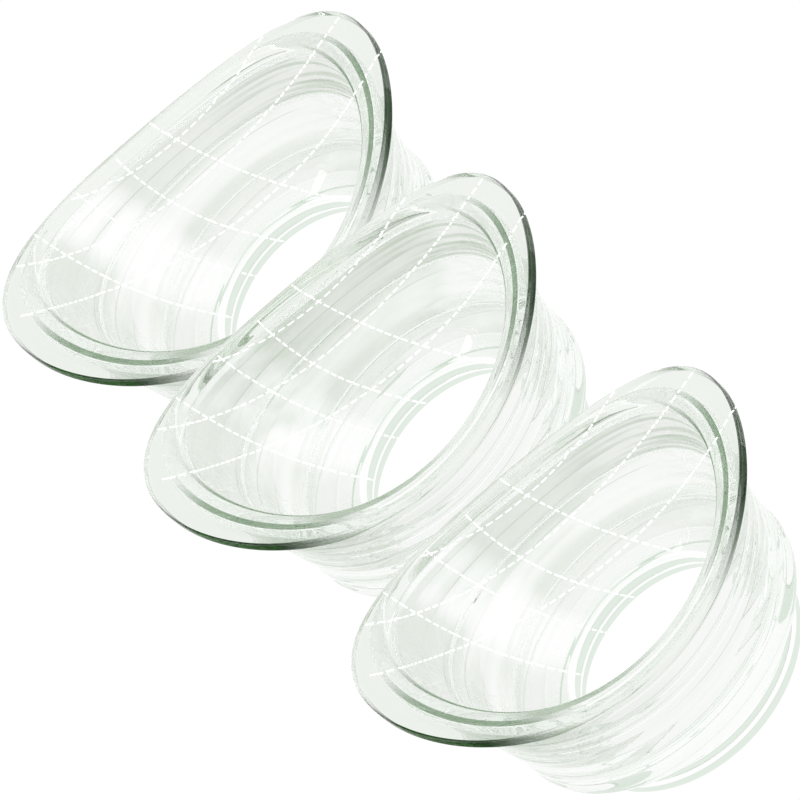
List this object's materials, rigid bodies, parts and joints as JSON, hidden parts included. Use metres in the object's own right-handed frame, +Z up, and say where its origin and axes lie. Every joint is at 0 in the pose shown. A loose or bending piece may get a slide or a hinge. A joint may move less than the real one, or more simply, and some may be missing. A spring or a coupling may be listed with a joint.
{
  "type": "sculpted drafting curve set",
  "caption": "Row of clear green-tinted flared sleeves with a saddle-shaped oval rim flange, lapped ring walls and a round open foot, used as sculpted drafting curves.",
  "frame": {"origin": "on the table, under the middle of the row of rims", "axes": "+Z up along every sleeve's axis, +Y along the row from the front sleeve to the rear one, +X towards the lower end of the rims"},
  "size_m": [0.1694, 0.336, 0.0964],
  "materials": {
    "rim_flange": "polished clear, pale green tint, darker green at cut edges",
    "lip_ring": "polished clear, pale green tint, darker green at cut edges",
    "upper_band": "polished clear, pale green tint, darker green at cut edges",
    "middle_band": "polished clear, pale green tint, darker green at cut edges",
    "lower_band": "polished clear, pale green tint, darker green at cut edges",
    "foot_ring": "polished clear, pale green tint, darker green at cut edges"
  },
  "bodies": {
    "rear_sleeve": {"rear_rim_flange": "rim_flange", "rear_lip_ring": "lip_ring", "rear_upper_band": "upper_band", "rear_middle_band": "middle_band", "rear_lower_band": "lower_band", "rear_foot_ring": "foot_ring"},
    "middle_sleeve": {"middle_rim_flange": "rim_flange", "middle_lip_ring": "lip_ring", "middle_upper_band": "upper_band", "middle_middle_band": "middle_band", "middle_lower_band": "lower_band", "middle_foot_ring": "foot_ring"},
    "front_sleeve": {"front_rim_flange": "rim_flange", "front_lip_ring": "lip_ring", "front_upper_band": "upper_band", "front_middle_band": "middle_band", "front_lower_band": "lower_band", "front_foot_ring": "foot_ring"}
  },
  "joints": [
    {"name": "middle_sleeve_lift", "type": "slide", "parent": "rear_sleeve", "child": "middle_sleeve", "axis": [0, 0, 1], "range_m": [0, 0.12]},
    {"name": "front_sleeve_lift", "type": "slide", "parent": "rear_sleeve", "child": "front_sleeve", "axis": [0, 0, 1], "range_m": [0, 0.12]}
  ]
}
